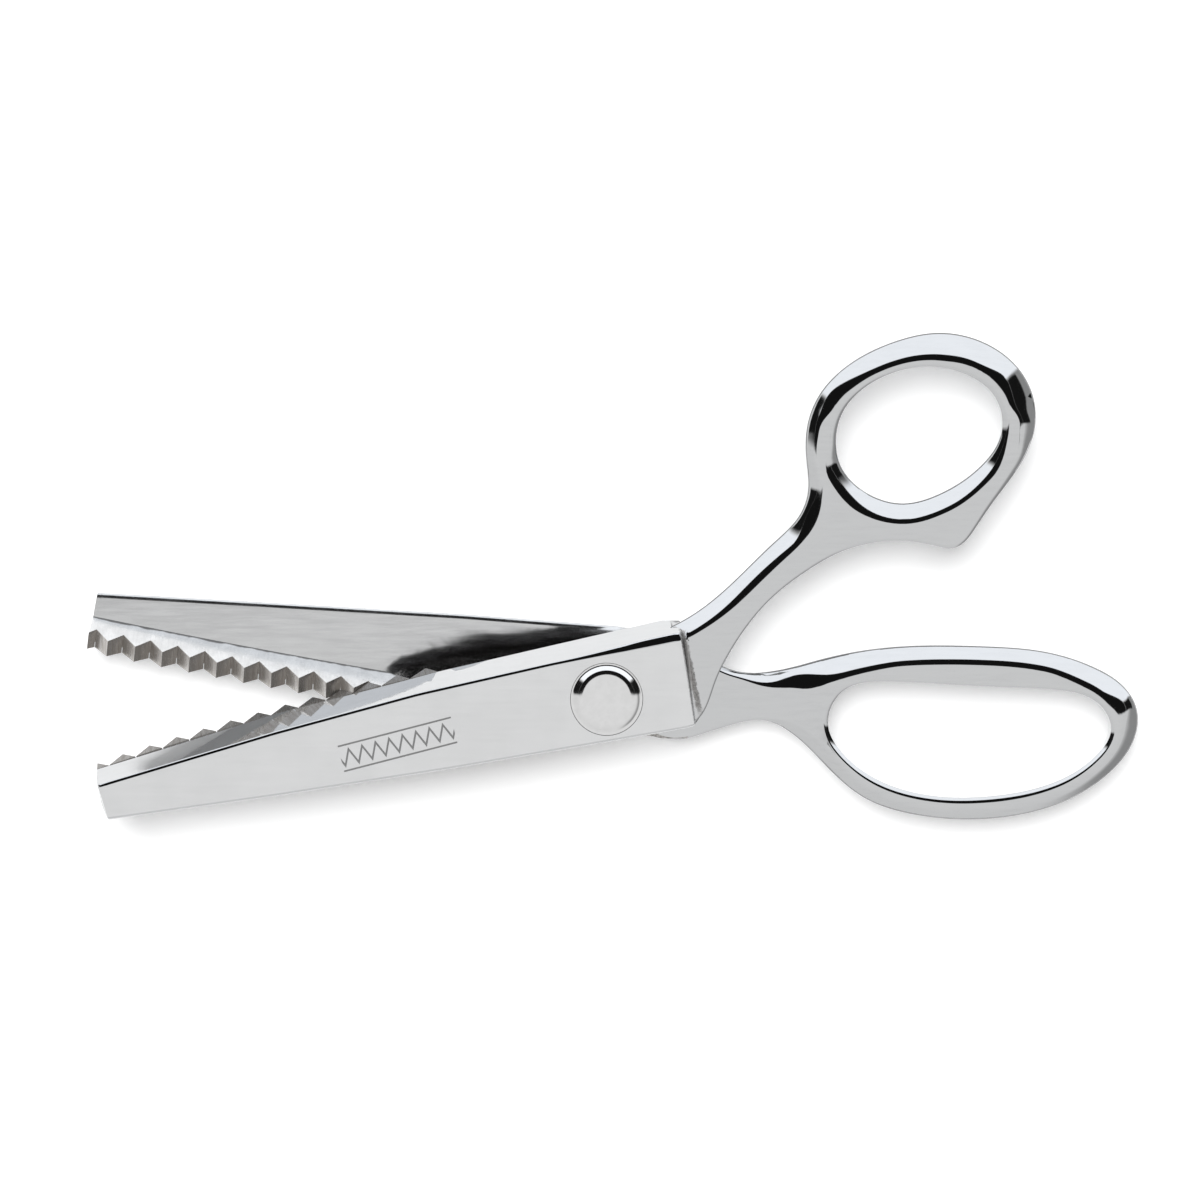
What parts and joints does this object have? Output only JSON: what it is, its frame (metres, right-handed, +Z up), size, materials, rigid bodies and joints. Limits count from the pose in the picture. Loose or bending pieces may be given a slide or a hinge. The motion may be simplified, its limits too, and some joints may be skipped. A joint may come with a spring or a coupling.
{
  "type": "pinking shears",
  "caption": "All-metal pinking shears: two forged halves with toothed cutter strips, a round thumb ring and a long finger bow, turning on a ball-bearing pivot.",
  "frame": {"origin": "middle of the shears' outline, on the surface that they lie on", "axes": "+X from the blade tips towards the handles, +Z up through the pivot bolt, from the back half to the front half"},
  "size_m": [0.1904, 0.0882, 0.0125],
  "materials": {
    "polished_chrome": "polished plated",
    "ground_steel": "ground, unplated",
    "bearing_steel": "hardened and polished",
    "spring_steel": "blued satin",
    "cage_brass": "satin",
    "bush_bronze": "satin sintered bronze",
    "plated_nut": "plated, turned face"
  },
  "bodies": {
    "back_shear": {"back_half": "polished_chrome", "back_toothed_strip": "ground_steel", "pivot_bush": "bush_bronze", "lower_race": "bearing_steel"},
    "front_shear": {"front_half": "polished_chrome", "front_toothed_strip": "ground_steel", "pivot_bolt": "polished_chrome", "bolt_key_pin": "bearing_steel", "upper_race": "bearing_steel", "pivot_nut": "plated_nut", "nut_lock_screw": "bearing_steel", "spring_washer": "spring_steel"},
    "ball_ring": {"ball_cage": "cage_brass", "bearing_balls": "bearing_steel"}
  },
  "joints": [
    {"name": "pivot", "type": "hinge", "parent": "back_shear", "child": "front_shear", "pos_m": [-0.00114, -0.02212, 0.006], "axis": [0, 0, 1], "range_deg": [-15, 35]},
    {"name": "ball_ring_turn", "type": "hinge", "parent": "back_shear", "child": "ball_ring", "pos_m": [-0.00114, -0.02212, 0.006], "axis": [0, 0, 1], "range_deg": [-7.5, 17.5]}
  ],
  "couplings": [
    {"joint": "ball_ring_turn", "follows": "pivot", "ratio": 0.5}
  ]
}
